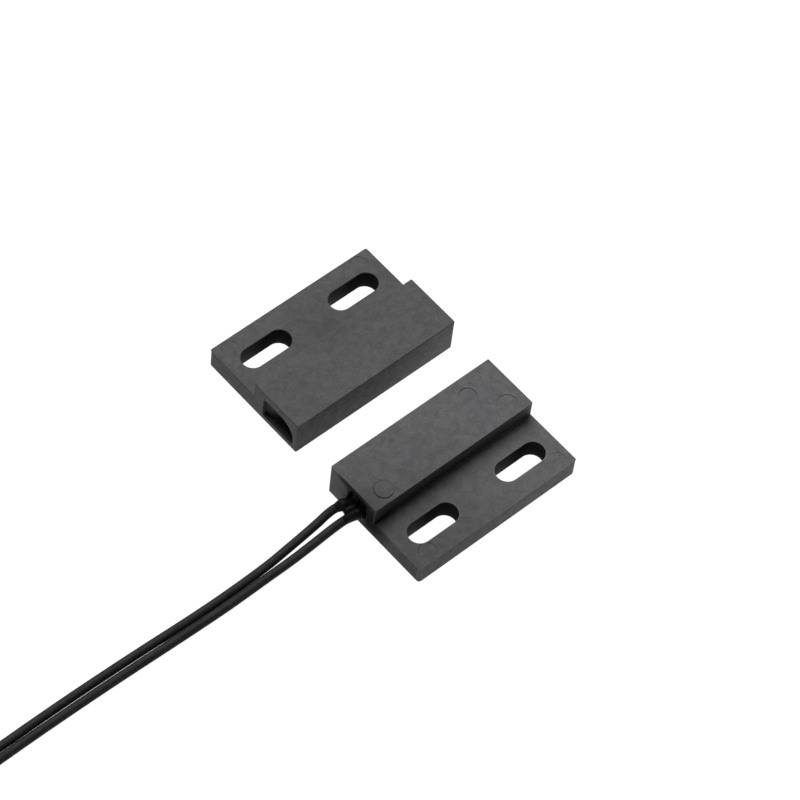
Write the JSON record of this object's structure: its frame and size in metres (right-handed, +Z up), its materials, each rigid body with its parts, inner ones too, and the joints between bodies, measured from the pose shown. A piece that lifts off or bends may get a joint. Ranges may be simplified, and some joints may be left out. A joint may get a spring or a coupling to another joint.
{
  "type": "door contact sensor",
  "caption": "Flange-mount magnetic door contact: a slim switch housing with wire leads and a potted reed capsule inside, and a matching magnet housing.",
  "frame": {"origin": "middle of the switch half's underside, on the surface that it is screwed to", "axes": "+X along both housings, away from the end that the leads leave; +Y from the switch half to the magnet half, the sensing direction; +Z up, away from the mounting surface"},
  "size_m": [0.1127, 0.0451, 0.0063],
  "materials": {
    "housing_plastic": "dark grey moulded plastic, matte with a fine mottled grain",
    "potting_resin": "black epoxy, glossy with a soft meniscus",
    "capsule_glass": "clear green-tinted glass",
    "sleeve_silicone": "translucent pale silicone",
    "reed_metal": "drawn nickel-iron wire",
    "contact_plating": "bright plated contact",
    "splice_metal": "tinned ferrule",
    "tinned_copper": "tinned stranded copper",
    "lead_insulation": "black satin PVC insulation",
    "tie_plastic": "black flexible tie band",
    "magnet_alloy": "ground sintered magnet"
  },
  "bodies": {
    "switch_half": {"switch_housing": "housing_plastic", "switch_potting": "potting_resin", "reed_capsule": "capsule_glass", "buffer_sleeve": "sleeve_silicone", "reed_shank_near": "reed_metal", "reed_shank_far": "reed_metal", "splice_near": "splice_metal", "splice_far": "splice_metal", "splice_return": "splice_metal", "return_wire": "tinned_copper", "conductor_a": "tinned_copper", "conductor_b": "tinned_copper", "lead_a_tip": "tinned_copper", "lead_b_tip": "tinned_copper", "return_sleeve": "lead_insulation", "lead_a": "lead_insulation", "lead_b": "lead_insulation", "lead_coil": "lead_insulation", "lead_a_end": "lead_insulation", "lead_b_end": "lead_insulation", "coil_tie": "tie_plastic"},
    "reed_near": {"reed_blade_near": "reed_metal", "contact_pad_near": "contact_plating"},
    "reed_far": {"reed_blade_far": "reed_metal", "contact_pad_far": "contact_plating"},
    "magnet_half": {"magnet_housing": "housing_plastic", "bar_magnet": "magnet_alloy", "magnet_potting": "potting_resin"}
  },
  "joints": [
    {"name": "door_travel", "type": "slide", "parent": "switch_half", "child": "magnet_half", "axis": [0, 1, 0], "range_m": [-0.0065, 0.025]},
    {"name": "reed_near_flex", "type": "hinge", "parent": "switch_half", "child": "reed_near", "pos_m": [-0.0031, 0.00375, 0.0035], "axis": [0, -1, 0], "range_deg": [0, 1.2], "stiffness_Nm_per_rad": 0.004},
    {"name": "reed_far_flex", "type": "hinge", "parent": "switch_half", "child": "reed_far", "pos_m": [0.0051, 0.00375, 0.004], "axis": [0, -1, 0], "range_deg": [0, 1.2], "stiffness_Nm_per_rad": 0.004}
  ]
}
